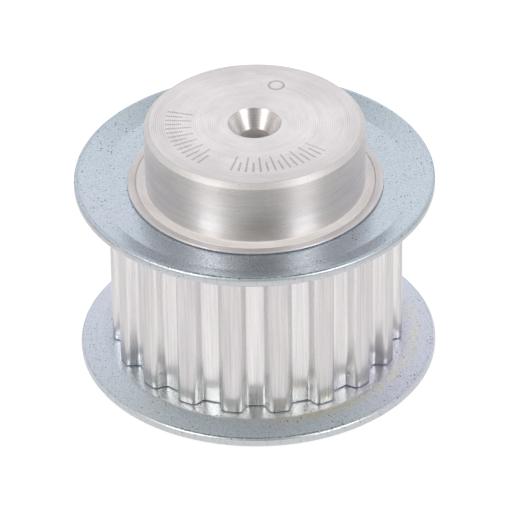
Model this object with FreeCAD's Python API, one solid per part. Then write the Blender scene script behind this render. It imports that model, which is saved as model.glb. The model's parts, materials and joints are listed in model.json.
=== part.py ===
import FreeCAD, Part
import math
import os

# A flanged timing belt pulley for metric T5 belts, 16 mm wide.
#
# The body is one turned and hobbed bar of aluminium: a toothed belt track with a spigot at each
# end and a plain hub standing on one side. Each flange is a pressed steel ring that sits on a
# spigot against the ends of the teeth. The spigot's rim is rolled out over the ring as a lip,
# which holds it for good. All sizes are in millimetres.
#
# Frame: the pulley's axis is Z and the hub points up. Z = 0 is the end face that it stands on.
# One tooth gap is centred on the -Y direction.

# Belt track
PITCH = 5.0                    # belt pitch, along the pitch line
TOOTH_COUNT = 19
PITCH_LINE_HEIGHT = 0.42       # the belt's pitch line runs this far outside the tooth tips
TRACK_WIDTH = 17.0             # between the flanges, for a 16 mm belt
GAP_DEPTH = 1.25
GAP_FLOOR_WIDTH = 1.79
GAP_ANGLE = 50.0               # between the two flanks of one gap, in degrees
GAP_ROOT_RADIUS = 0.4
TOOTH_TIP_RADIUS = 0.6

# Flanges
FLANGE_STAND_OUT = 3.3         # rim beyond the tooth tips
FLANGE_THICKNESS = 1.0
FLARE_START = 0.95             # from the tooth tips to the bend, on the tooth side
FLARE_ANGLE = 21.0             # the flare leans away from the teeth, in degrees
BEND_RADIUS = 0.5              # on the hollow side of the bend
RIM_ROUNDING = 0.35            # on the rim's outer edge

# Spigots, and the lips rolled over the flanges
SHOULDER_WIDTH = 1.25          # from the gap floors in to the spigot
FLANGE_BORE_CLEARANCE = 0.05   # on the radius
LIP_OVERHANG = 0.55            # lip beyond the flange's bore
LIP_HEIGHT = 0.30              # above the flange
LIP_ROUNDING = 0.20
LEDGE_DROP = 0.05              # the ledge inside the lip lies this far below the lip's top
LIP_WIDTH = 0.85               # from the lip's outside to the middle of the rolled line
ROLLED_LINE_WIDTH = 0.12
ROLLED_LINE_DEPTH = 0.10

# Hub, and the short boss at the other end
OVERALL_LENGTH = 27.0
LEDGE_WIDTH = 1.2              # from the hub out to the spigot's radius
HUB_CHAMFER = 0.5
HUB_ROOT_RADIUS = 0.15
END_STAND_OUT = 0.22           # the boss's end face beyond the lower flange's rim
END_CHAMFER = 0.3

# Pilot bore, with a centre countersink at each end
BORE_DIA = 3.2
COUNTERSINK_WIDTH = 1.07       # on the radius
COUNTERSINK_ANGLE = 60.0       # in degrees

# Radii that follow from those
tip_radius = TOOTH_COUNT * PITCH / (2 * math.pi) - PITCH_LINE_HEIGHT
root_radius = tip_radius - GAP_DEPTH
spigot_radius = root_radius - SHOULDER_WIDTH
hub_radius = spigot_radius - LEDGE_WIDTH
flange_bore_radius = spigot_radius + FLANGE_BORE_CLEARANCE
lip_radius = flange_bore_radius + LIP_OVERHANG
rim_radius = tip_radius + FLANGE_STAND_OUT
bore_radius = BORE_DIA / 2
countersink_radius = bore_radius + COUNTERSINK_WIDTH

# The flange's flare, from the ends of the teeth out to the rim's furthest point
flare = math.radians(FLARE_ANGLE)
flare_rise = (rim_radius - tip_radius - FLARE_START) * math.tan(flare)
rim_corner = (math.pi / 2 + flare) / 2
rim_height = flare_rise + FLANGE_THICKNESS / math.cos(flare)
rim_extent = rim_height - RIM_ROUNDING * (math.tan(rim_corner) - 1)

# Heights, from the end face
track_bottom = END_STAND_OUT + rim_extent
track_top = track_bottom + TRACK_WIDTH
lower_flange_face = track_bottom - FLANGE_THICKNESS
upper_flange_face = track_top + FLANGE_THICKNESS
lower_ledge = lower_flange_face - LIP_HEIGHT + LEDGE_DROP
upper_ledge = upper_flange_face + LIP_HEIGHT - LEDGE_DROP


class Outline:
    """A closed outline of straight runs and arcs, drawn from point to point."""

    def __init__(self, start):
        self.start = start
        self.here = start
        self.edges = []

    def line(self, *points):
        for point in points:
            self.edges.append(Part.LineSegment(self.here, point).toShape())
            self.here = point
        return self

    def arc(self, middle, end):
        self.edges.append(Part.Arc(self.here, middle, end).toShape())
        self.here = end
        return self

    def back_along(self, other):
        """Go to the end of another outline and follow it back to its start."""
        self.line(other.here)
        self.edges += reversed(other.edges)
        self.here = other.start
        return self

    def face(self):
        return Part.Face(Part.Wire(self.edges))


def section(radius, height):
    """A point of a turned section, in the plane through the axis."""
    return FreeCAD.Vector(radius, 0, height)


def on_circle(centre, radius, angle):
    """The point of a turned section that lies on a circle, at an angle from the radial direction."""
    return centre + section(radius * math.cos(angle), radius * math.sin(angle))


def turned(face):
    """The solid that a section makes when it turns about the axis."""
    return face.revolve(FreeCAD.Vector(0, 0, 0), FreeCAD.Vector(0, 0, 1), 360)


def polar(radius, angle):
    return FreeCAD.Vector(radius * math.cos(angle), radius * math.sin(angle), 0)


def half_gap():
    """One side of a tooth gap centred on +X: its arcs and corners from the floor to the tip."""
    lean = math.radians(GAP_ANGLE / 2)
    along = FreeCAD.Vector(math.cos(lean), math.sin(lean), 0)
    into_tooth = FreeCAD.Vector(-math.sin(lean), math.cos(lean), 0)
    floor_corner = FreeCAD.Vector(root_radius, GAP_FLOOR_WIDTH / 2, 0)

    # The fillet between the floor and the flank
    reach = GAP_ROOT_RADIUS * math.tan((math.pi / 2 - lean) / 2)
    floor_end = floor_corner - FreeCAD.Vector(0, reach, 0)
    flank_start = floor_corner + along * reach
    root_centre = floor_end + FreeCAD.Vector(GAP_ROOT_RADIUS, 0, 0)
    to_corner = (floor_corner - root_centre).normalize()
    root_middle = root_centre + to_corner * GAP_ROOT_RADIUS

    # The rounding between the flank and the tip circle touches both
    base = floor_corner + into_tooth * TOOTH_TIP_RADIUS
    reach_out = tip_radius - TOOTH_TIP_RADIUS
    lead = base.dot(along)
    run = -lead + math.sqrt(lead ** 2 - base.dot(base) + reach_out ** 2)
    tip_centre = base + along * run
    flank_end = floor_corner + along * run
    tip_point = tip_centre * (tip_radius / reach_out)
    outward = ((flank_end - tip_centre).normalize() + (tip_point - tip_centre).normalize()).normalize()
    tip_middle = tip_centre + outward * TOOTH_TIP_RADIUS
    return floor_end, root_middle, flank_start, flank_end, tip_middle, tip_point


def beside_gap(point, gap, side):
    """A point of the half gap, turned to a gap by its number. side is -1 left of it or 1 right."""
    gap_angle = -math.pi / 2 + gap * 2 * math.pi / TOOTH_COUNT
    return polar(point.Length, gap_angle + side * math.atan2(point.y, point.x))


def toothed_track():
    """The belt track: a prism with the full outline of teeth and gaps."""
    floor_end, root_middle, flank_start, flank_end, tip_middle, tip_point = half_gap()
    land_middle = polar(tip_radius, math.pi / TOOTH_COUNT)
    outline = Outline(beside_gap(tip_point, 0, -1))
    for gap in range(TOOTH_COUNT):
        outline.arc(beside_gap(tip_middle, gap, -1), beside_gap(flank_end, gap, -1))
        outline.line(beside_gap(flank_start, gap, -1))
        outline.arc(beside_gap(root_middle, gap, -1), beside_gap(floor_end, gap, -1))
        outline.line(beside_gap(floor_end, gap, 1))
        outline.arc(beside_gap(root_middle, gap, 1), beside_gap(flank_start, gap, 1))
        outline.line(beside_gap(flank_end, gap, 1))
        outline.arc(beside_gap(tip_middle, gap, 1), beside_gap(tip_point, gap, 1))
        outline.arc(beside_gap(land_middle, gap, 1), beside_gap(tip_point, gap + 1, -1))
    face = outline.face()
    face.translate(FreeCAD.Vector(0, 0, track_bottom))
    return face.extrude(FreeCAD.Vector(0, 0, TRACK_WIDTH))


def add_lip(outline, face, way):
    """Draw the rolled lip of a spigot from the flange's face to its ledge. way is 1 up, -1 down."""
    top = face + way * LIP_HEIGHT
    ledge = top - way * LEDGE_DROP
    centre = section(lip_radius - LIP_ROUNDING, top - way * LIP_ROUNDING)
    line_radius = lip_radius - LIP_WIDTH
    half_line = ROLLED_LINE_WIDTH / 2
    outline.line(section(spigot_radius, face), section(lip_radius, face))
    outline.line(section(lip_radius, centre.z))
    outline.arc(on_circle(centre, LIP_ROUNDING, way * math.pi / 4), section(centre.x, top))
    outline.line(section(line_radius + half_line, top))
    outline.line(section(line_radius, ledge - way * ROLLED_LINE_DEPTH))
    outline.line(section(line_radius - half_line, ledge))


def core():
    """The turned bar inside the teeth: both spigots with their lips, the hub and the end boss."""
    lower_end = Outline(section(spigot_radius, track_bottom))
    add_lip(lower_end, lower_flange_face, -1)
    lower_end.line(section(hub_radius, lower_ledge), section(hub_radius, END_CHAMFER))
    lower_end.line(section(hub_radius - END_CHAMFER, 0))
    outline = Outline(section(0, 0))
    outline.back_along(lower_end)
    add_lip(outline, upper_flange_face, 1)
    root = section(hub_radius + HUB_ROOT_RADIUS, upper_ledge + HUB_ROOT_RADIUS)
    outline.line(section(root.x, upper_ledge))
    outline.arc(on_circle(root, HUB_ROOT_RADIUS, -3 * math.pi / 4), section(hub_radius, root.z))
    outline.line(section(hub_radius, OVERALL_LENGTH - HUB_CHAMFER))
    outline.line(section(hub_radius - HUB_CHAMFER, OVERALL_LENGTH))
    outline.line(section(0, OVERALL_LENGTH), outline.start)
    return turned(outline.face())


def pilot_bore():
    """What the drill takes out: a plain hole with a cone at each mouth."""
    cone_depth = COUNTERSINK_WIDTH / math.tan(math.radians(COUNTERSINK_ANGLE / 2))
    outline = Outline(section(0, 0))
    outline.line(section(countersink_radius, 0))
    outline.line(section(bore_radius, cone_depth))
    outline.line(section(bore_radius, OVERALL_LENGTH - cone_depth))
    outline.line(section(countersink_radius, OVERALL_LENGTH))
    outline.line(section(0, OVERALL_LENGTH), outline.start)
    return turned(outline.face())


def pulley_body():
    """The one-piece body: teeth, spigots, lips and hub, with the pilot bore through it."""
    return toothed_track().fuse(core()).cut(pilot_bore()).removeSplitter()


def flange(tooth_face, way):
    """A pressed flange. tooth_face is the height of its tooth side, and way leads off the teeth."""
    def at(radius, height):
        return section(radius, tooth_face + way * height)

    def on_bend(radius, turn):
        """A point of the bend, turn radians on from where it starts."""
        return at(bend_start + radius * math.sin(turn), bend_centre - radius * math.cos(turn))

    outer_bend = BEND_RADIUS + FLANGE_THICKNESS
    bend_start = tip_radius + FLARE_START - outer_bend * math.tan(flare / 2)
    bend_centre = outer_bend

    # The rim is turned parallel to the axis and rounded where it meets the flare's outer side
    rounding_height = rim_extent - RIM_ROUNDING
    rounding_radius = rim_radius - RIM_ROUNDING

    def on_rounding(angle):
        return at(rounding_radius + RIM_ROUNDING * math.cos(angle),
                  rounding_height + RIM_ROUNDING * math.sin(angle))

    outline = Outline(at(flange_bore_radius, 0))
    outline.line(at(bend_start, 0))
    outline.arc(on_bend(outer_bend, flare / 2), on_bend(outer_bend, flare))
    outline.line(at(rim_radius, flare_rise), at(rim_radius, rounding_height))
    outline.arc(on_rounding(rim_corner), on_rounding(2 * rim_corner))
    outline.line(on_bend(BEND_RADIUS, flare))
    outline.arc(on_bend(BEND_RADIUS, flare / 2), at(bend_start, FLANGE_THICKNESS))
    outline.line(at(flange_bore_radius, FLANGE_THICKNESS), outline.start)
    return turned(outline.face())


os.makedirs("parts", exist_ok=True)
for name, shape in (
    ("pulley_body", pulley_body()),
    ("hub_side_flange", flange(track_top, 1)),
    ("end_side_flange", flange(track_bottom, -1)),
):
    shape.exportStep("parts/" + name + ".step")
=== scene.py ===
"""Timing belt pulley: the finished look of a flanged T5 pulley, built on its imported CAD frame.

The body and the two pressed flanges are modelled again here with softer edges, rolled lips and
nicks, at the places and sizes that the CAD nodes give, and get machined and plated finishes.
Lengths are in metres. The pulley's axis is Z, and one tooth gap faces -Y.
"""

import json
import math

import bmesh
import bpy
from bpy.props import FloatProperty, FloatVectorProperty, IntProperty, PointerProperty
from mathutils import Matrix, Vector


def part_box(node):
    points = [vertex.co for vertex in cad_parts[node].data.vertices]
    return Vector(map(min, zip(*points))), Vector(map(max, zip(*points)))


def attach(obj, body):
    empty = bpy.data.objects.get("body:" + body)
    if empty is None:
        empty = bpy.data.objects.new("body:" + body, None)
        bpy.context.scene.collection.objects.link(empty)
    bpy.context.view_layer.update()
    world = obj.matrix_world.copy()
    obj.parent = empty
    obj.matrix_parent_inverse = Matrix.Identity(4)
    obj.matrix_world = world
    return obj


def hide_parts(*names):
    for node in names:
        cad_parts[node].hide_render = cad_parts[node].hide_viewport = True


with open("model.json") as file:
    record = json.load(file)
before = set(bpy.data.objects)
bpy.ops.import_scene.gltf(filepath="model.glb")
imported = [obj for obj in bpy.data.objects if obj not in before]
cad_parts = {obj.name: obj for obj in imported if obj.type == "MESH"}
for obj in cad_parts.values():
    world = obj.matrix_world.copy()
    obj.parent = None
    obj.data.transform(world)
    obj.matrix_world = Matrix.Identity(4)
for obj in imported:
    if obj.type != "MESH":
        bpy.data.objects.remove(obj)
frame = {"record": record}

bl_info = {
    "name": "Timing Belt Pulley",
    "version": (1, 0, 0),
    "blender": (4, 5, 0),
    "location": "View3D > Sidebar > Pulley",
    "description": "Builds a flanged timing belt pulley and its studio around a CAD frame",
    "category": "Object",
}

MM = 0.001
FULL_TURN = 2 * math.pi
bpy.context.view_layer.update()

# Places that the CAD nodes and the record's mounts give
_, body_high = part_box("pulley_body")
_, lower_flange_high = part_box("end_side_flange")
upper_flange_low, upper_flange_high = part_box("hub_side_flange")
mounts = {mount["name"]: mount for mount in frame["record"]["mounts"]}
TRACK_BOTTOM = lower_flange_high.z
TRACK_TOP = upper_flange_low.z
HUB_FACE = mounts["hub_face"]["pos_m"][2]
END_FACE = mounts["end_face"]["pos_m"][2]
TIP_RADIUS = body_high.y
RIM_RADIUS = upper_flange_high.x
BORE_RADIUS = mounts["bore"]["dims"]["r_mm"] * MM


def length(name, description, default, **more):
    """A size property in metres."""
    return FloatProperty(
        name=name, description=description, default=default, subtype="DISTANCE", unit="LENGTH",
        precision=5, min=0.0, **more)


def angle(name, description, degrees):
    """An angle property. Its default is given in degrees."""
    return FloatProperty(
        name=name, description=description, default=math.radians(degrees), subtype="ANGLE",
        unit="ROTATION")


def colour(name, description, default):
    """A colour property, as linear red, green and blue."""
    return FloatVectorProperty(
        name=name, description=description, default=default, subtype="COLOR", size=3, min=0.0,
        max=1.0)


def amount(name, description, default, **more):
    """A plain number, or one with the subtype that it names."""
    return FloatProperty(name=name, description=description, default=default, **more)


class PulleyBodySizes(bpy.types.PropertyGroup):
    """Sizes of the one-piece body that the CAD node's box doesn't give."""

    tooth_count: IntProperty(
        name="Teeth", description="Number of teeth round the belt track", default=19, min=8)
    gap_depth: length("Gap Depth", "From the tooth tips in to the gap floors", 1.25 * MM)
    gap_floor_width: length("Gap Floor", "Width of the flat floor of a gap", 1.79 * MM)
    gap_angle: angle("Gap Angle", "Between the two flanks of one gap", 50.0)
    gap_root_radius: length("Root Radius", "Fillet between a gap's floor and flank", 0.40 * MM)
    tooth_tip_radius: length("Tip Radius", "Rounding between a flank and the tip", 0.60 * MM)
    tooth_end_break: length("Tooth End Break", "Small bevel round the ends of the teeth", 0.10 * MM)
    spigot_radius: length("Spigot Radius", "Radius that each flange sits on", 12.20 * MM)
    lip_radius: length("Lip Radius", "Outside of the lip rolled over a flange", 12.80 * MM)
    lip_height: length("Lip Height", "Top of the lip above its flange", 0.30 * MM)
    lip_width: length("Lip Width", "From the lip's outside to the rolled line", 0.85 * MM)
    ledge_drop: length("Ledge Drop", "From the lip's top down to the ledge inside it", 0.05 * MM)
    rolled_line_depth: length("Rolled Line Depth", "Depth of that line below the ledge", 0.12 * MM)
    hub_radius: length("Hub Radius", "Radius of the plain hub", 11.00 * MM)
    hub_chamfer: length("Hub Chamfer", "Chamfer round the hub's face", 0.50 * MM)
    hub_root_radius: length("Hub Root Radius", "Fillet between the hub and its ledge", 0.15 * MM)
    countersink_width: length("Countersink Width", "Radial width of the bore's cone", 1.07 * MM)
    countersink_angle: angle("Countersink Angle", "Full angle of the bore's cone", 60.0)
    end_chamfer: length("End Chamfer", "Chamfer round the end boss", 0.30 * MM)
    end_root_radius: length("End Root Radius", "Fillet between the boss and its ledge", 0.08 * MM)
    edge_break: length("Edge Break", "Rounding on the sharp turned edges", 0.06 * MM)


class PulleyFlangeSizes(bpy.types.PropertyGroup):
    """Sizes of the pressed flanges that the CAD nodes' boxes don't give."""

    thickness: length("Thickness", "Thickness of the flange's sheet", 1.00 * MM)
    bore_radius: length("Bore Radius", "Radius of the hole that the spigot fills", 12.25 * MM)
    flare_start: length("Flare Start", "From the tooth tips to the bend, on the tooth side", 0.95 * MM)
    flare_angle: angle("Flare Angle", "How far the flare leans away from the teeth", 21.0)
    bend_radius: length("Bend Radius", "Radius of the bend's hollow side", 0.50 * MM)
    rim_rounding: length("Rim Rounding", "Rounding on the rim's outer edge", 0.35 * MM)
    tooth_side_rounding: length("Tooth Side Rounding", "Rounding on the rim's other edge", 0.28 * MM)
    hole_rounding: length("Hole Rounding", "Rounding on the edges of the hole", 0.08 * MM)
    rim_shift: length("Rim Shift", "How far each rim is off centre, to opposite sides", 0.09 * MM)
    lower_lean: angle("Lower Lean", "How far the lower rim leans, about X", 0.44)
    nick_depth: length("Nick Depth", "Depth of the nick that each rim has taken", 0.10 * MM)
    upper_nick: angle("Upper Nick", "Place of the upper rim's nick, from -Y towards +X", -47.0)
    lower_nick: angle("Lower Nick", "Place of the lower rim's nick, from -Y towards +X", -60.0)


class PulleyFinishes(bpy.types.PropertyGroup):
    """Colours of the metals and of the marks on the hub."""

    aluminium: colour("Aluminium", "Freshly turned aluminium", (0.86, 0.82, 0.83))
    hobbed_aluminium: colour("Hobbed Aluminium", "Aluminium of the teeth", (0.80, 0.775, 0.785))
    worn_aluminium: colour("Worn Aluminium", "Aluminium that has dulled", (0.535, 0.51, 0.52))
    zinc: colour("Zinc", "Bright zinc plate", (0.61, 0.69, 0.77))
    lilac_zinc: colour("Lilac Zinc", "Zinc plate with a lilac cast", (0.65, 0.645, 0.76))
    straw_zinc: colour("Straw Zinc", "Zinc plate with a straw cast", (0.72, 0.69, 0.58))
    sheared_steel: colour("Sheared Steel", "Thin plate on a sheared edge", (0.545, 0.55, 0.575))
    # pit also colours the dark line near the zinc's rim, which is partly painted shade
    pit: colour("Pit", "Pits in the zinc plate", (0.10, 0.11, 0.12))
    mark: colour("Mark", "Laser marks on the hub's face", (0.30, 0.25, 0.23))


class PulleyStudio(bpy.types.PropertyGroup):
    """The camera, the lights and the floor."""

    lens: amount("Lens", "Focal length in millimetres", 363.2, subtype="DISTANCE_CAMERA")
    camera_distance: length("Camera Distance", "From the camera to what it looks at", 518.1 * MM)
    camera_azimuth: angle("Camera Azimuth", "Round from the -Y direction towards +X", 1.0)
    camera_elevation: angle("Camera Elevation", "Above the horizon", 35.45)
    camera_roll: angle("Camera Roll", "Turn of the camera about its own axis", 0.81)
    aim_height: length("Aim Height", "Height of the point that the camera looks at", 10.95 * MM)
    aim_across: length("Aim Across", "From that point across to the axis", 0.145 * MM)
    floor_colour: colour("Floor", "Pale acrylic of the light table", (0.32, 0.32, 0.32))
    # The floor's glow is painted light, brightest in a pool round the pulley
    floor_glow: amount("Floor Glow", "Brightness of the light table from below", 0.80)
    tent_light: amount("Tent Light", "Brightness of the light tent behind the pulley", 1.0)
    tent_side: amount("Tent Side", "Brightness of the tent's sides and front, of the back's", 0.75)
    tent_top: amount("Tent Top", "Brightness of the tent overhead, of the back's", 0.65)
    tent_front: colour("Tent Front", "Cast of the tent on the camera's side", (1.0, 1.0, 0.90))
    softbox_colour: colour("Softbox", "Warm light of the two softboxes", (1.0, 0.99, 0.97))
    softbox_size: length("Softbox Size", "Side of each square softbox", 0.28)
    softbox_distance: length("Softbox Distance", "From the pulley to each softbox", 0.8)
    softbox_elevation: angle("Softbox Elevation", "Height of both softboxes", 35.0)
    left_softbox: angle("Left Softbox", "Place of the left one, from -Y towards +X", -47.0)
    right_softbox: angle("Right Softbox", "Place of the right one, from -Y towards +X", 50.0)
    softbox_power: amount("Softbox Power", "Power of each softbox in watts", 1.5)


# ---------------------------------------------------------------------------------------------
# Modelling by hand, in edit mode

NEAR = 1e-7
ROUNDING_STEPS = 5
SMOOTH_ANGLE = math.radians(30)


def start_piece(name, point):
    """Add a new object with one vertex, at a point, and leave it in edit mode."""
    bpy.ops.object.select_all(action="DESELECT")
    bpy.ops.mesh.primitive_circle_add(vertices=3, radius=MM, location=point)
    piece = bpy.context.object
    piece.name = name
    piece.data.name = name
    bpy.ops.object.transform_apply(location=True)
    bpy.ops.object.mode_set(mode="EDIT")
    bpy.ops.mesh.select_mode(type="VERT")
    bpy.ops.mesh.select_all(action="SELECT")
    bpy.ops.mesh.merge(type="CENTER")
    return piece


def start_line(point):
    """Add one vertex at a point to the mesh in edit mode, and leave only that one selected."""
    bpy.ops.mesh.select_all(action="DESELECT")
    bpy.ops.mesh.primitive_circle_add(vertices=3, radius=MM, location=point)
    bpy.ops.mesh.merge(type="CENTER")


def edited():
    """The mesh in edit mode."""
    return bmesh.from_edit_mesh(bpy.context.object.data)


def show_selection(mesh):
    """Carry a changed selection over to the edges and faces, and to the viewport."""
    mesh.select_flush_mode()
    bmesh.update_edit_mesh(bpy.context.object.data)


def select_points(chosen):
    """Select the vertices of the edited mesh whose place is chosen."""
    bpy.ops.mesh.select_mode(type="VERT")
    bpy.ops.mesh.select_all(action="DESELECT")
    mesh = edited()
    for vertex in mesh.verts:
        vertex.select_set(bool(chosen(vertex.co)))
    show_selection(mesh)


def select_edges(chosen):
    """Select the edges of the edited mesh that are chosen."""
    bpy.ops.mesh.select_mode(type="EDGE")
    bpy.ops.mesh.select_all(action="DESELECT")
    mesh = edited()
    for edge in mesh.edges:
        edge.select_set(bool(chosen(edge)))
    show_selection(mesh)


def select_faces(chosen):
    """Select the faces of the edited mesh that are chosen."""
    bpy.ops.mesh.select_mode(type="FACE")
    bpy.ops.mesh.select_all(action="DESELECT")
    mesh = edited()
    for face in mesh.faces:
        face.select_set(bool(chosen(face)))
    show_selection(mesh)


def draw_to(here, point):
    """Extrude the selected vertex from here to a point."""
    bpy.ops.mesh.extrude_region_move(TRANSFORM_OT_translate={"value": Vector(point) - Vector(here)})


def draw_line(corners):
    """Draw on from the selected vertex through corners, each a point and its rounding radius.

    The first corner is where the line already stands. The roundings are bevelled afterwards,
    so that each touches both of its runs.
    """
    points = [Vector(point) for point, _ in corners]
    for here, point in zip(points, points[1:]):
        draw_to(here, point)
    for before, (corner, rounding), after in zip(points, corners[1:], points[2:]):
        if rounding:
            corner = Vector(corner)
            turn = (corner - before).angle(after - corner)
            select_points(lambda place: (place - corner).length < NEAR)
            bpy.ops.mesh.bevel(
                affect="VERTICES", offset_type="OFFSET", offset=rounding * math.tan(turn / 2),
                segments=ROUNDING_STEPS)


def turn_about_axis(steps):
    """Spin all that is drawn right round the axis, and join the last step to the first."""
    bpy.ops.mesh.select_all(action="SELECT")
    bpy.ops.mesh.spin(steps=steps, angle=FULL_TURN, center=(0, 0, 0), axis=(0, 0, 1))
    bpy.ops.mesh.select_all(action="SELECT")
    bpy.ops.mesh.remove_doubles(threshold=NEAR)


def distance_from_axis(place):
    return math.hypot(place.x, place.y)


def direction(azimuth, elevation):
    """The direction at an azimuth, round from -Y towards +X, and an elevation."""
    across = math.cos(elevation)
    return Vector((math.sin(azimuth) * across, -math.cos(azimuth) * across, math.sin(elevation)))


def close_piece(piece):
    """Make the normals point outwards and leave edit mode, with soft shading on small angles."""
    bpy.ops.mesh.select_all(action="SELECT")
    bpy.ops.mesh.normals_make_consistent(inside=False)
    open_edges = sum(len(edge.link_faces) != 2 for edge in edited().edges)
    bpy.ops.object.mode_set(mode="OBJECT")
    if open_edges:
        raise RuntimeError(f"{piece.name} isn't closed: {open_edges} open edges")
    bpy.ops.object.shade_smooth_by_angle(angle=SMOOTH_ANGLE)


def paint_faces(piece, material, chosen):
    """Give the chosen faces a material, in a slot of its own."""
    piece.data.materials.append(material)
    piece.active_material_index = len(piece.data.materials) - 1
    bpy.ops.object.mode_set(mode="EDIT")
    select_faces(chosen)
    bpy.ops.object.material_slot_assign()
    bpy.ops.object.mode_set(mode="OBJECT")


# ---------------------------------------------------------------------------------------------
# Shader maths

GROOVES_ROUND = 0.25
GROOVES_ALONG = 0.0
WHITE = (1.0, 1.0, 1.0)


def radius_of(x, y):
    """The distance from the pulley's axis, as a signal."""
    return (x * x + y * y).root()


class Signal:
    """A shader socket. Python's operators on it add Math nodes."""

    def __init__(self, shader, socket):
        self.shader = shader
        self.socket = socket

    def maths(self, operation, *values):
        """Add a Math node that works on the values, which are signals or numbers."""
        sockets = {index: value for index, value in enumerate(values)}
        return self.shader.add("ShaderNodeMath", {"operation": operation}, sockets)

    def __add__(self, other):
        return self.maths("ADD", self, other)

    __radd__ = __add__

    def __sub__(self, other):
        return self.maths("SUBTRACT", self, other)

    def __rsub__(self, other):
        return self.maths("SUBTRACT", other, self)

    def __mul__(self, other):
        return self.maths("MULTIPLY", self, other)

    __rmul__ = __mul__

    def __truediv__(self, other):
        return self.maths("DIVIDE", self, other)

    def __neg__(self):
        return self.maths("MULTIPLY", self, -1.0)

    def __gt__(self, other):
        return self.maths("GREATER_THAN", self, other)

    def __lt__(self, other):
        return self.maths("LESS_THAN", self, other)

    def sine(self):
        return self.maths("SINE", self)

    def root(self):
        return self.maths("SQRT", self)

    def size(self):
        return self.maths("ABSOLUTE", self)

    def repeat(self, step):
        """How far into its step the value is, from 0 to the step."""
        return self.maths("FLOORED_MODULO", self, step)

    def fade(self, low, high):
        """0 below low, 1 above high, and smooth between. low may be above high."""
        return self.shader.add(
            "ShaderNodeMapRange", {"interpolation_type": "SMOOTHSTEP"},
            {"Value": self, "From Min": low, "From Max": high})


class Shader:
    """The nodes of one material or world."""

    def __init__(self, owner):
        owner.use_nodes = True
        self.tree = owner.node_tree
        self.tree.nodes.clear()

    def add(self, kind, settings=None, sockets=None, output=0):
        """Add a node, set its settings, feed its sockets, and return one of its outputs."""
        node = self.tree.nodes.new(kind)
        for name, value in (settings or {}).items():
            setattr(node, name, value)
        for name, value in (sockets or {}).items():
            if isinstance(value, Signal):
                self.tree.links.new(value.socket, node.inputs[name])
            else:
                node.inputs[name].default_value = value
        return Signal(self, node.outputs[output]) if len(node.outputs) else node

    def parts(self, vector):
        """The x, y and z of a vector."""
        return [self.add("ShaderNodeSeparateXYZ", sockets={0: vector}, output=i) for i in range(3)]

    def place(self):
        """The object's own coordinates, in metres: the vector, and its x, y and z."""
        vector = self.add("ShaderNodeTexCoord", output="Object")
        return vector, *self.parts(vector)

    def vector(self, x, y, z):
        """A vector made of three signals or numbers."""
        return self.add("ShaderNodeCombineXYZ", sockets={0: x, 1: y, 2: z})

    def noise(self, vector, scale, detail=2.0, roughness=0.5):
        """Smooth noise round 0.5. scale is in features to the metre."""
        return self.add(
            "ShaderNodeTexNoise", {"noise_dimensions": "3D"},
            {"Vector": vector, "Scale": scale, "Detail": detail, "Roughness": roughness})

    def specks(self, vector, scale, largest):
        """Scattered round specks, 1 inside and 0 outside. largest is a share of their spacing."""
        sockets = {"Vector": vector, "Scale": scale}
        distance = self.add("ShaderNodeTexVoronoi", sockets=sockets)
        chance = self.add("ShaderNodeTexVoronoi", sockets=sockets, output=1)
        size = self.add("ShaderNodeSeparateXYZ", sockets={0: chance}) * largest
        return (distance / size).fade(1.0, 0.7)

    def mix(self, factor, first, second):
        """A blend of two colours."""
        opaque = [value if isinstance(value, Signal) else (*value, 1.0) for value in (first, second)]
        return self.add(
            "ShaderNodeMix", {"data_type": "RGBA"}, {0: factor, 6: opaque[0], 7: opaque[1]}, output=2)

    def bump(self, height, depth, normal=None):
        """A bumpy normal. height runs from 0 to 1 over depth, which is in metres."""
        sockets = {"Strength": 1.0, "Distance": depth, "Height": height}
        if normal:
            sockets["Normal"] = normal
        return self.add("ShaderNodeBump", sockets=sockets)

    def finish_metal(self, base, roughness, normal, anisotropy=0.0, metallic=1.0, turn=GROOVES_ROUND):
        """The metal itself. turn says which way the grooves run that its anisotropy stands for."""
        metal = self.add(
            "ShaderNodeBsdfPrincipled", None,
            {"Base Color": base, "Roughness": roughness, "Normal": normal, "Metallic": metallic,
             "Anisotropic": anisotropy, "Anisotropic Rotation": turn})
        self.add("ShaderNodeOutputMaterial", sockets={"Surface": metal})


def new_material(name):
    """A new material, and the shader that fills it."""
    material = bpy.data.materials.new(name)
    return material, Shader(material)


def tool_lines(shader, travel, around, feed):
    """Heights of lathe lines: an even feed, and grooves that differ and fade on their way round."""
    even = (travel * (FULL_TURN / feed)).sine() * 0.5 + 0.5
    uneven = shader.noise(shader.vector(travel * 0.35, around * 0.4 * MM, 0.0), 0.55 / feed, 3.0, 0.7)
    return even * 0.35 + uneven * 0.65


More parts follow.
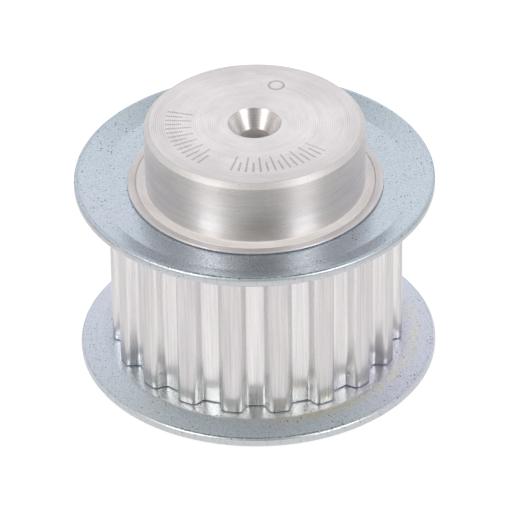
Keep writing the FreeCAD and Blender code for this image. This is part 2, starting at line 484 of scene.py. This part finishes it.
def turned_aluminium(name, finishes, feed, depth, roughness, anisotropy, wear, torn=0.0, marks=False):
    """Aluminium off the lathe. Its lines run round the axis on faces, walls and cones alike.

    wear is how far it has dulled. torn is how far the cut has torn it to a pale, matt surface.
    """
    material, shader = new_material(name)
    place, x, y, z = shader.place()
    radius = radius_of(x, y)
    around = shader.add("ShaderNodeMath", {"operation": "ARCTAN2"}, {0: x, 1: -y})
    lines = tool_lines(shader, radius - z, around, feed)
    bands = shader.noise(shader.vector(radius - z, around * 0.5 * MM, 0.0), 2600.0, 4.0, 0.75)
    smudges = shader.noise(place, 260.0, 3.0)
    grain = shader.noise(place, 9000.0, 3.0, 0.7)
    chips = shader.specks(place, 1500.0, 0.12)
    dull = wear + (smudges - 0.5) * 0.5 + (bands - 0.5) * 0.7 + (lines - 0.45) * 0.9
    dull = dull + (grain - 0.5) * 0.9 + chips * 0.8
    if marks:
        handled = radius.fade(7 * MM, 10.5 * MM)
        dull = dull + handled * 0.25
    base = shader.mix(dull, finishes.aluminium, finishes.worn_aluminium)
    rough = roughness + (lines - 0.5) * 0.12 + (smudges - 0.5) * 0.10
    if marks:
        mark = hub_marks(shader, x, y, radius, around) * grain.fade(0.25, 0.60) * (z > TRACK_TOP)
        base = shader.mix(mark * 0.55, base, finishes.mark)
        rough = rough + mark * 0.2
    normal = shader.bump(lines, depth)
    normal = shader.bump(grain, depth * 0.4, normal)
    shader.finish_metal(base, rough, normal, anisotropy, 1.0 - torn)
    return material


def hub_marks(shader, x, y, radius, around):
    """Two arcs of plain index strokes, long and short in turn, and a ring on the far side."""
    step = 5.0
    stroke_share = 0.3
    shortening = 0.9 * MM

    def arc(start, end, inner, outer):
        along = (around - math.radians(start)) / math.radians(step)
        stroke = along.repeat(1.0) < stroke_share
        short = ((along / 2).repeat(1.0) > 0.5) * shortening
        reach = (radius > (short + inner)) * (radius < outer)
        return stroke * (along > 0.0) * (along < (end - start) / step) * reach

    ring_radius, ring_line = 0.75 * MM, 0.26 * MM
    from_ring = radius_of(x - 2.1 * MM, y - 6.7 * MM) - ring_radius
    ring = from_ring.size() < ring_line / 2
    return arc(-104, -37, 6.3 * MM, 8.9 * MM) + arc(-16, 55, 6.1 * MM, 8.6 * MM) + ring


def hobbed_aluminium(name, finishes):
    """The toothed bar: bright in the gaps and duller on the lands, with fine lines along the axis."""
    material, shader = new_material(name)
    place, x, y, z = shader.place()
    streaks = shader.noise(shader.vector(x, y, z * 0.012), 7000.0, 4.0, 0.65)
    broad = shader.noise(shader.vector(x, y, z * 0.08), 1400.0, 2.0)
    grain = shader.noise(place, 9000.0, 3.0, 0.7)
    chips = shader.specks(place, 1500.0, 0.12)
    radius = radius_of(x, y)
    lands = radius.fade(TIP_RADIUS - 0.35 * MM, TIP_RADIUS - 0.05 * MM)
    dull = 0.20 + lands * 0.48 + (streaks - 0.5) * 1.3 + (broad - 0.5) * 0.6
    dull = dull + (grain - 0.5) * 0.7 + chips * 0.8
    base = shader.mix(dull, finishes.hobbed_aluminium, finishes.worn_aluminium)
    rough = 0.26 + (streaks - 0.5) * 0.12 + (broad - 0.5) * 0.06
    normal = shader.bump(streaks, 5e-6)
    normal = shader.bump(grain, 1e-6, normal)
    shader.finish_metal(base, rough, normal, 1.0, turn=GROOVES_ALONG)
    return material


def zinc_plate(name, finishes):
    """Pressed sheet with bright zinc plate: its cast drifts, and it has fine grain and dark pits."""
    material, shader = new_material(name)
    place, x, y, z = shader.place()
    radius = radius_of(x, y)
    across = x / radius
    lower = z.fade(9 * MM, 5 * MM)

    # The lower flange is lilac towards both sides, straw along its bend at +X and faintly in front
    drift = shader.noise(place, 110.0, 2.0)
    patches = shader.noise(place, 500.0, 5.0, 0.7).fade(0.25, 0.75)
    sides = across.fade(0.45, 0.85) + (-across).fade(0.55, 1.0) * 0.6
    lilac = sides * drift.fade(0.20, 0.60) * lower
    bend = (radius - 15.9 * MM).size().fade(0.9 * MM, 0.1 * MM)
    straw = across.fade(0.0, 0.25) * bend * patches * 0.9
    straw = straw + across.fade(-1.0, -0.5) * across.fade(0.80, 0.45) * 0.3
    straw = straw * (-y).fade(-9 * MM, 2 * MM) * lower
    tint = shader.mix(drift.fade(0.45, 0.70) * 0.3, finishes.zinc, finishes.lilac_zinc)
    tint = shader.mix(lilac * 0.7, tint, finishes.lilac_zinc)
    tint = shader.mix(straw, tint, finishes.straw_zinc)

    # Pits crowd together in places, and a dark line near the rim, partly dirt and partly painted
    # shade, is darkest in front, on the -Y side that faces the camera
    grain = shader.noise(place, 6000.0, 4.0, 0.7)
    crowd = shader.noise(place, 350.0, 2.0).fade(0.40, 0.62) * 0.7 + 0.3
    # front weights the rim line's painted shade towards -Y, where the camera looks
    front = (-y / radius).fade(0.80, 0.97) * 0.8 + 0.2
    rim_dirt_and_shade = (radius - (RIM_RADIUS - 0.22 * MM)).size().fade(0.09 * MM, 0.03 * MM)
    rim_dirt_and_shade = rim_dirt_and_shade * shader.noise(place, 3500.0, 3.0, 0.7).fade(0.30, 0.55) * front
    # The rim line, partly dirt and partly painted shade, is added in with the pits
    pits = shader.specks(place, 2900.0, 0.30) * crowd + rim_dirt_and_shade * 0.9
    base = shader.mix((grain - 0.45) * 1.6 + pits * 0.85, tint, finishes.pit)

    upper_rim = radius.fade(RIM_RADIUS - 0.6 * MM, RIM_RADIUS - 0.3 * MM) * (1.0 - lower)
    rough = 0.28 + lower * 0.08 + upper_rim * 0.12 + (grain - 0.5) * 0.2 + pits * 0.3
    normal = shader.bump(grain, 4e-6)
    normal = shader.bump(1.0 - pits, 6e-6, normal)
    shader.finish_metal(base, rough, normal)
    return material


def sheared_edge(name, finishes):
    """The rim's cut edge: thin plate over fine scratches along the axis, with a few dark pits."""
    material, shader = new_material(name)
    place, x, y, z = shader.place()
    scratches = shader.noise(shader.vector(x, y, z * 0.1), 4500.0, 3.0, 0.7)
    grain = shader.noise(place, 5000.0, 3.0, 0.7)
    pits = shader.specks(place, 2500.0, 0.2)
    dull = (scratches - 0.5) * 0.8 + (grain - 0.5) * 0.6 + pits * 0.8
    base = shader.mix(dull, finishes.sheared_steel, finishes.pit)
    normal = shader.bump(scratches, 5e-6)
    shader.finish_metal(base, 0.38 + (grain - 0.5) * 0.2, normal)
    return material


# ---------------------------------------------------------------------------------------------
# The pieces

# Gaps between pieces. The teeth's is a share of the bevel on their ends.
TOOTH_STAND_BACK = 0.3
SEAT_GAP = 0.02 * MM
FLOOR_GAP = 0.02 * MM

# The lip's foot and its flat top, in from its outside, and the two sides of the rolled line
LIP_FOOT_INSET = 0.10 * MM
LIP_CROWN_WIDTH = 0.35 * MM
LINE_INNER_WIDTH = 0.06 * MM
LINE_OUTER_WIDTH = 0.07 * MM

# How much a normal rises on a face that counts as flat, sloping or upright
FLAT = 0.9
SLOPING = 0.3
UPRIGHT = 0.25

# How far the tests for painted faces reach past an edge
REACH = 0.1 * MM
RIM_STEPS = 480


def on_wall(radius, height):
    """A point of a turned section, drawn in the plane of X and Z."""
    return (radius, 0, height)


def lip_corners(sizes, flange_face, ledge, way):
    """The rolled lip from the flange's bore round to its ledge. way is 1 on top, -1 below."""
    seat = flange_face + way * SEAT_GAP
    top = flange_face + way * sizes.lip_height
    line = sizes.lip_radius - sizes.lip_width
    return [
        (on_wall(sizes.spigot_radius, seat), 0),
        (on_wall(sizes.lip_radius - LIP_FOOT_INSET, seat), 0),
        (on_wall(sizes.lip_radius, flange_face + way * 0.11 * MM), 0.05 * MM),
        (on_wall(sizes.lip_radius - 0.03 * MM, top - way * 0.02 * MM), 0.10 * MM),
        (on_wall(sizes.lip_radius - LIP_CROWN_WIDTH, top), 0.40 * MM),
        (on_wall(line + LINE_OUTER_WIDTH, top - way * 0.04 * MM), 0.03 * MM),
        (on_wall(line, ledge - way * sizes.rolled_line_depth), 0.02 * MM),
        (on_wall(line - LINE_INNER_WIDTH, ledge), 0.03 * MM),
    ]


def hub_corners(sizes, upper_ledge, lower_ledge):
    """The hub from its ledge over its face, down the bore, and round the boss at the other end."""
    cone_depth = sizes.countersink_width / math.tan(sizes.countersink_angle / 2)
    mouth = BORE_RADIUS + sizes.countersink_width
    return [
        (on_wall(sizes.hub_radius, upper_ledge), sizes.hub_root_radius),
        (on_wall(sizes.hub_radius, HUB_FACE - sizes.hub_chamfer), sizes.edge_break),
        (on_wall(sizes.hub_radius - sizes.hub_chamfer, HUB_FACE), sizes.edge_break),
        (on_wall(mouth, HUB_FACE), sizes.edge_break),
        (on_wall(BORE_RADIUS, HUB_FACE - cone_depth), sizes.edge_break),
        (on_wall(BORE_RADIUS, END_FACE + cone_depth), sizes.edge_break),
        (on_wall(mouth, END_FACE), sizes.edge_break),
        (on_wall(sizes.hub_radius - sizes.end_chamfer, END_FACE), sizes.edge_break),
        (on_wall(sizes.hub_radius, END_FACE + sizes.end_chamfer), sizes.edge_break),
        (on_wall(sizes.hub_radius, lower_ledge), sizes.end_root_radius),
    ]


def gap_corners(sizes):
    """Half of the tooth gap that faces -Y, from the middle of its floor to the middle of a tooth."""
    root_radius = TIP_RADIUS - sizes.gap_depth
    half_floor = sizes.gap_floor_width / 2
    lean = math.tan(sizes.gap_angle / 2)
    half_pitch = FULL_TURN / sizes.tooth_count / 2

    # Where the flank's line meets the tip circle
    offset = half_floor - root_radius * lean
    slant = 1 + lean ** 2
    crossing = (-offset * lean + math.sqrt(TIP_RADIUS ** 2 * slant - offset ** 2)) / slant
    tip_angle = math.acos(crossing / TIP_RADIUS)
    height = TRACK_BOTTOM + (1 + TOOTH_STAND_BACK) * sizes.tooth_end_break

    def on_tip(turn):
        return (TIP_RADIUS * math.sin(turn), -TIP_RADIUS * math.cos(turn), height)

    return [
        ((0, -root_radius, height), 0),
        ((half_floor, -root_radius, height), sizes.gap_root_radius),
        (on_tip(tip_angle), sizes.tooth_tip_radius),
        (on_tip((tip_angle + half_pitch) / 2), 0),
        (on_tip(half_pitch), 0),
    ]


class PULLEY_OT_body(bpy.types.Operator):
    """Build the one-piece body: hub, belt track, spigots, rolled lips and bore"""

    bl_idname = "pulley.body"
    bl_label = "Body"
    bl_options = {"REGISTER", "UNDO"}

    def execute(self, context):
        sizes = context.scene.pulley_body
        thickness = context.scene.pulley_flanges.thickness
        upper_face = TRACK_TOP + thickness
        lower_face = TRACK_BOTTOM - thickness
        upper_ledge = upper_face + sizes.lip_height - sizes.ledge_drop
        lower_ledge = lower_face - sizes.lip_height + sizes.ledge_drop
        shoulder_gap = TOOTH_STAND_BACK * sizes.tooth_end_break
        shoulders = (TRACK_TOP - shoulder_gap, TRACK_BOTTOM + shoulder_gap)

        section = [(on_wall(sizes.spigot_radius, shoulders[0]), 0)]
        section += lip_corners(sizes, upper_face, upper_ledge, 1)
        section += hub_corners(sizes, upper_ledge, lower_ledge)
        section += reversed(lip_corners(sizes, lower_face, lower_ledge, -1))
        section += [(on_wall(sizes.spigot_radius, shoulders[1]), 0)]

        outline = gap_corners(sizes)
        body = start_piece("machined_body", outline[0][0])
        outline_points = self.cut_teeth(sizes, outline)
        self.turn_ends(section, outline_points)
        self.close_shoulders(shoulders)
        close_piece(body)
        self.paint(body, sizes, context.scene.pulley_finishes, upper_ledge, lower_ledge)
        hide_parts("pulley_body")
        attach(body, "root")
        return {"FINISHED"}

    def cut_teeth(self, sizes, outline):
        """Draw half a gap, mirror it, copy it round and draw the teeth up, with bevelled ends.

        Returns the number of points round the outline.
        """
        draw_line(outline)
        bpy.ops.mesh.select_all(action="SELECT")
        bpy.ops.mesh.duplicate()
        bpy.ops.transform.resize(value=(-1, 1, 1), center_override=(0, 0, 0))
        bpy.ops.mesh.select_all(action="SELECT")
        others = sizes.tooth_count - 1
        bpy.ops.mesh.spin(
            steps=others, angle=FULL_TURN * others / sizes.tooth_count, dupli=True,
            center=(0, 0, 0), axis=(0, 0, 1))
        bpy.ops.mesh.select_all(action="SELECT")
        bpy.ops.mesh.remove_doubles(threshold=NEAR)

        end_break = sizes.tooth_end_break
        track_height = TRACK_TOP - TRACK_BOTTOM - 2 * (1 + TOOTH_STAND_BACK) * end_break
        bpy.ops.mesh.extrude_region_move(TRANSFORM_OT_translate={"value": (0, 0, track_height)})
        bpy.ops.mesh.select_all(action="SELECT")
        bpy.ops.mesh.normals_make_consistent(inside=False)
        middle = (TRACK_TOP + TRACK_BOTTOM) / 2
        for way in (-1, 1):
            select_points(lambda place: (place.z - middle) * way > 0)
            bpy.ops.mesh.extrude_region_move(TRANSFORM_OT_translate={"value": (0, 0, way * end_break)})
            bpy.ops.transform.shrink_fatten(value=-end_break)
        return sum(place.co.z > middle for place in edited().verts) // 2

    def turn_ends(self, section, steps):
        """Turn the section of the hub, lips, bore and boss about the axis, apart from the teeth."""
        bpy.ops.mesh.select_all(action="SELECT")
        bpy.ops.mesh.hide()
        start_line(section[0][0])
        draw_line(section)
        turn_about_axis(steps)
        bpy.ops.mesh.reveal(select=False)

    def close_shoulders(self, shoulders):
        """Close the rings between the teeth's ends and the spigots."""
        for shoulder in shoulders:
            select_edges(lambda edge: len(edge.link_faces) == 1 and all(
                abs(vertex.co.z - shoulder) < NEAR * 10 for vertex in edge.verts))
            bpy.ops.mesh.bridge_edge_loops()

    def paint(self, body, sizes, finishes, upper_ledge, lower_ledge):
        """Paint the whole body as a turned wall, and then each other surface over that."""
        floor_radius = TIP_RADIUS - sizes.gap_depth
        line = sizes.lip_radius - sizes.lip_width
        mouth = BORE_RADIUS + sizes.countersink_width

        def height(face):
            return face.calc_center_median().z

        def within(face, radius):
            return all(distance_from_axis(vertex.co) < radius for vertex in face.verts)

        def beyond(face, radius):
            return all(distance_from_axis(vertex.co) > radius for vertex in face.verts)

        def on_lip(face):
            return lower_ledge - NEAR < height(face) < upper_ledge + REACH

        def on_ledge(face):
            nearest = min(abs(height(face) - ledge) for ledge in (upper_ledge, lower_ledge))
            return within(face, line + 0.02 * MM) and nearest < REACH

        paint_faces(body, turned_aluminium(
            "turned_wall", finishes, feed=0.16 * MM, depth=10e-6, roughness=0.48, anisotropy=0.9,
            wear=0.35), lambda face: True)
        paint_faces(body, turned_aluminium(
            "turned_face", finishes, feed=0.21 * MM, depth=12e-6, roughness=0.34, anisotropy=0.4,
            wear=0.16, marks=True), lambda face: abs(face.normal.z) > FLAT)
        paint_faces(body, turned_aluminium(
            "turned_chamfer", finishes, feed=0.12 * MM, depth=10e-6, roughness=0.50, anisotropy=0.5,
            wear=0.4, torn=0.4), lambda face: SLOPING < abs(face.normal.z) < FLAT)
        paint_faces(body, turned_aluminium(
            "rolled_lip", finishes, feed=0.13 * MM, depth=12e-6, roughness=0.45, anisotropy=0.6,
            wear=0.45, torn=0.3), on_lip)
        paint_faces(body, turned_aluminium(
            "torn_ledge", finishes, feed=0.13 * MM, depth=16e-6, roughness=0.50, anisotropy=0.5,
            wear=0.2, torn=0.9), on_ledge)
        paint_faces(body, turned_aluminium(
            "countersink", finishes, feed=0.10 * MM, depth=3e-6, roughness=0.38, anisotropy=0.6,
            wear=0.45, torn=0.2), lambda face: within(face, mouth))
        paint_faces(body, turned_aluminium(
            "drilled_bore", finishes, feed=0.10 * MM, depth=3e-6, roughness=0.45, anisotropy=0.3,
            wear=0.4, torn=0.6), lambda face: within(face, BORE_RADIUS + NEAR))
        paint_faces(
            body, hobbed_aluminium("hobbed_teeth", finishes),
            lambda face: beyond(face, floor_radius - 0.3 * MM))


class PULLEY_OT_flanges(bpy.types.Operator):
    """Build the two pressed flanges, each dished away from the teeth"""

    bl_idname = "pulley.flanges"
    bl_label = "Flanges"
    bl_options = {"REGISTER", "UNDO"}

    def execute(self, context):
        finishes = context.scene.pulley_finishes
        plates = zinc_plate("zinc_plate", finishes), sheared_edge("sheared_edge", finishes)
        sizes = context.scene.pulley_flanges
        upper = self.press(sizes, "upper_pressed_flange", "hub_side_flange", 1, plates)
        self.wear(upper, sizes, TRACK_TOP, 0.0, -sizes.rim_shift, sizes.upper_nick)
        lower = self.press(sizes, "lower_pressed_flange", "end_side_flange", -1, plates)
        self.wear(lower, sizes, TRACK_BOTTOM, sizes.lower_lean, sizes.rim_shift, sizes.lower_nick)
        return {"FINISHED"}

    def wear(self, flange, sizes, height, lean, shift, nick):
        """Lean and shift the flare a little, as the press left it, and knock a nick in its rim."""
        flange.select_set(True)
        bpy.context.view_layer.objects.active = flange
        bpy.ops.object.mode_set(mode="EDIT")
        select_points(lambda place: distance_from_axis(place) > RIM_RADIUS - 1.6 * MM)
        fading = {"use_proportional_edit": True, "proportional_size": 1.2 * MM}
        bpy.ops.transform.rotate(
            value=lean, orient_axis="X", center_override=(0, 0, height), **fading)
        bpy.ops.transform.translate(value=(shift, 0, 0), **fading)

        # The nick is in the cut edge, on the half nearer the teeth
        out = direction(nick, 0)
        heights = [vertex.co.z for vertex in edited().verts]
        middle = (min(heights) + max(heights)) / 2
        hit = out * (RIM_RADIUS + shift * out.x) + Vector((0, 0, height + (middle - height) * 1.2))
        select_points(lambda place: (place - hit).length < 0.4 * MM)
        bpy.ops.transform.translate(
            value=out * -sizes.nick_depth, use_proportional_edit=True,
            proportional_size=0.45 * MM, proportional_edit_falloff="SHARP")
        bpy.ops.object.mode_set(mode="OBJECT")

    def press(self, sizes, name, node, way, plates):
        """One flange, from its bore out along the tooth side, round the rim and back."""
        tooth_face = TRACK_TOP if way == 1 else TRACK_BOTTOM
        bend = TIP_RADIUS + sizes.flare_start
        rise = (RIM_RADIUS - bend) * math.tan(sizes.flare_angle)
        hollow_bend = bend - sizes.thickness * math.tan(sizes.flare_angle / 2)
        outer_rise = rise + sizes.thickness / math.cos(sizes.flare_angle)
        outer_bend_radius = sizes.bend_radius + sizes.thickness

        def at(radius, height):
            return on_wall(radius, tooth_face + way * height)

        corners = [
            (at(sizes.bore_radius, sizes.thickness / 2), 0),
            (at(sizes.bore_radius, 0), sizes.hole_rounding),
            (at(bend, 0), outer_bend_radius),
            (at(RIM_RADIUS, rise), sizes.tooth_side_rounding),
            (at(RIM_RADIUS, outer_rise), sizes.rim_rounding),
            (at(hollow_bend, sizes.thickness), sizes.bend_radius),
            (at(sizes.bore_radius, sizes.thickness), sizes.hole_rounding),
            (at(sizes.bore_radius, sizes.thickness / 2), 0),
        ]
        flange = start_piece(name, corners[0][0])
        draw_line(corners)
        turn_about_axis(RIM_STEPS)
        close_piece(flange)

        def on_rim(face):
            rim = all(distance_from_axis(vertex.co) > RIM_RADIUS - REACH for vertex in face.verts)
            return rim and abs(face.normal.z) < UPRIGHT

        paint_faces(flange, plates[0], lambda face: True)
        paint_faces(flange, plates[1], on_rim)
        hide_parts(node)
        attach(flange, "root")
        return flange


class PULLEY_OT_stage(bpy.types.Operator):
    """Set the pale floor, the light tent and the camera"""

    bl_idname = "pulley.stage"
    bl_label = "Stage"
    bl_options = {"REGISTER", "UNDO"}

    def execute(self, context):
        studio = context.scene.pulley_studio
        self.lay_floor(studio)
        self.hang_tent(context, studio)
        self.set_camera(context, studio)
        context.scene.view_settings.view_transform = "Standard"
        return {"FINISHED"}

    def lay_floor(self, studio):
        """A pale floor that glows with painted light, brightest in a pool round the pulley and dimmer
        in front and to the sides.
        """
        bpy.ops.object.select_all(action="DESELECT")
        bpy.ops.mesh.primitive_plane_add(size=3.0, location=(0, 0, END_FACE - FLOOR_GAP))
        floor = bpy.context.object
        floor.name = "floor"
        material, shader = new_material("pale_floor")
        place, x, y, _ = shader.place()
        paper = shader.noise(place, 400.0, 3.0)
        dim = tuple(part * 0.99 for part in studio.floor_colour)
        # Painted light: the floor glows brightest in a pool round the pulley
        painted_light_pool = y.fade(-0.13, -0.07) * x.size().fade(0.09, 0.045)
        painted_glow = shader.mix(painted_light_pool, (0.3, 0.3, 0.3), WHITE)
        surface = shader.add(
            "ShaderNodeBsdfPrincipled", None,
            {"Base Color": shader.mix(paper, studio.floor_colour, dim), "Roughness": 0.9,
             "Specular IOR Level": 0.1, "Emission Color": painted_glow,
             "Emission Strength": studio.floor_glow})
        shader.add("ShaderNodeOutputMaterial", sockets={"Surface": surface})
        floor.data.materials.append(material)

    def hang_tent(self, context, studio):
        """Bright behind, dimmer at the sides and overhead, and dark where the camera looks in."""
        world = bpy.data.worlds.new("light_tent")
        context.scene.world = world
        shader = Shader(world)
        look = shader.add("ShaderNodeTexCoord", output="Generated")
        x, y, z = shader.parts(look)
        opening = direction(studio.camera_azimuth + math.radians(8), studio.camera_elevation)
        towards = x * opening.x + y * opening.y + z * opening.z
        bright = 1.0 - (-y).fade(-0.75, -0.30) * z.fade(0.75, 0.60) * (1.0 - studio.tent_side)
        bright = bright * (1.0 - z.fade(0.65, 0.90) * y.fade(-0.55, 0.0) * (1.0 - studio.tent_top))
        bright = bright * (1.0 - z.fade(0.88, 0.97) * 0.35)
        bright = bright * (1.0 - towards.fade(0.88, 0.96) * 0.92)
        cloth = shader.mix((-y).fade(-0.2, 0.5), WHITE, studio.tent_front)
        surface = shader.add(
            "ShaderNodeBackground", None,
            {"Color": cloth, "Strength": bright * studio.tent_light})
        shader.add("ShaderNodeOutputWorld", sockets={"Surface": surface})
        turns = {"left_softbox": studio.left_softbox, "right_softbox": studio.right_softbox}
        for name, turn in turns.items():
            light = bpy.data.lights.new(name, "AREA")
            light.size = studio.softbox_size
            light.energy = studio.softbox_power
            light.color = studio.softbox_colour
            lamp = bpy.data.objects.new(name, light)
            back = direction(turn, studio.softbox_elevation)
            lamp.location = back * studio.softbox_distance
            lamp.rotation_euler = back.to_track_quat("Z", "Y").to_euler()
            context.scene.collection.objects.link(lamp)

    def set_camera(self, context, studio):
        """A long lens, aimed at a point beside the axis and turned a little."""
        data = bpy.data.cameras.new("camera")
        data.lens = studio.lens
        data.clip_start = 0.01
        data.clip_end = 10.0
        camera = bpy.data.objects.new("camera", data)
        context.scene.collection.objects.link(camera)
        context.scene.camera = camera
        back = direction(studio.camera_azimuth, studio.camera_elevation)
        turn = back.to_track_quat("Z", "Y").to_matrix().to_4x4()
        aim = Vector((-studio.aim_across, 0, studio.aim_height))
        camera.matrix_world = (
            Matrix.Translation(aim + back * studio.camera_distance) @ turn
            @ Matrix.Rotation(-studio.camera_roll, 4, "Z"))


class PULLEY_PT_panel(bpy.types.Panel):
    """Lists the pulley's sizes, finishes and build steps"""

    bl_idname = "PULLEY_PT_panel"
    bl_label = "Timing Belt Pulley"
    bl_space_type = "VIEW_3D"
    bl_region_type = "UI"
    bl_category = "Pulley"

    def draw(self, context):
        layout = self.layout
        for group in PROPERTY_GROUPS:
            box = layout.box()
            box.label(text=group.removeprefix("pulley_").capitalize())
            settings = getattr(context.scene, group)
            for name in settings.__annotations__:
                box.prop(settings, name)
        for operator in OPERATORS:
            layout.operator(operator.bl_idname)


OPERATORS = (PULLEY_OT_body, PULLEY_OT_flanges, PULLEY_OT_stage)
PROPERTY_GROUPS = {
    "pulley_body": PulleyBodySizes,
    "pulley_flanges": PulleyFlangeSizes,
    "pulley_finishes": PulleyFinishes,
    "pulley_studio": PulleyStudio,
}


def register():
    for group in PROPERTY_GROUPS.values():
        bpy.utils.register_class(group)
    for name, group in PROPERTY_GROUPS.items():
        setattr(bpy.types.Scene, name, PointerProperty(type=group))
    for operator in OPERATORS:
        bpy.utils.register_class(operator)
    bpy.utils.register_class(PULLEY_PT_panel)


def unregister():
    bpy.utils.unregister_class(PULLEY_PT_panel)
    for operator in reversed(OPERATORS):
        bpy.utils.unregister_class(operator)
    for name in PROPERTY_GROUPS:
        delattr(bpy.types.Scene, name)
    for group in reversed(PROPERTY_GROUPS.values()):
        bpy.utils.unregister_class(group)


def main():
    register()
    bpy.ops.pulley.body()
    bpy.ops.pulley.flanges()
    bpy.ops.pulley.stage()


if __name__ == "__main__":
    main()
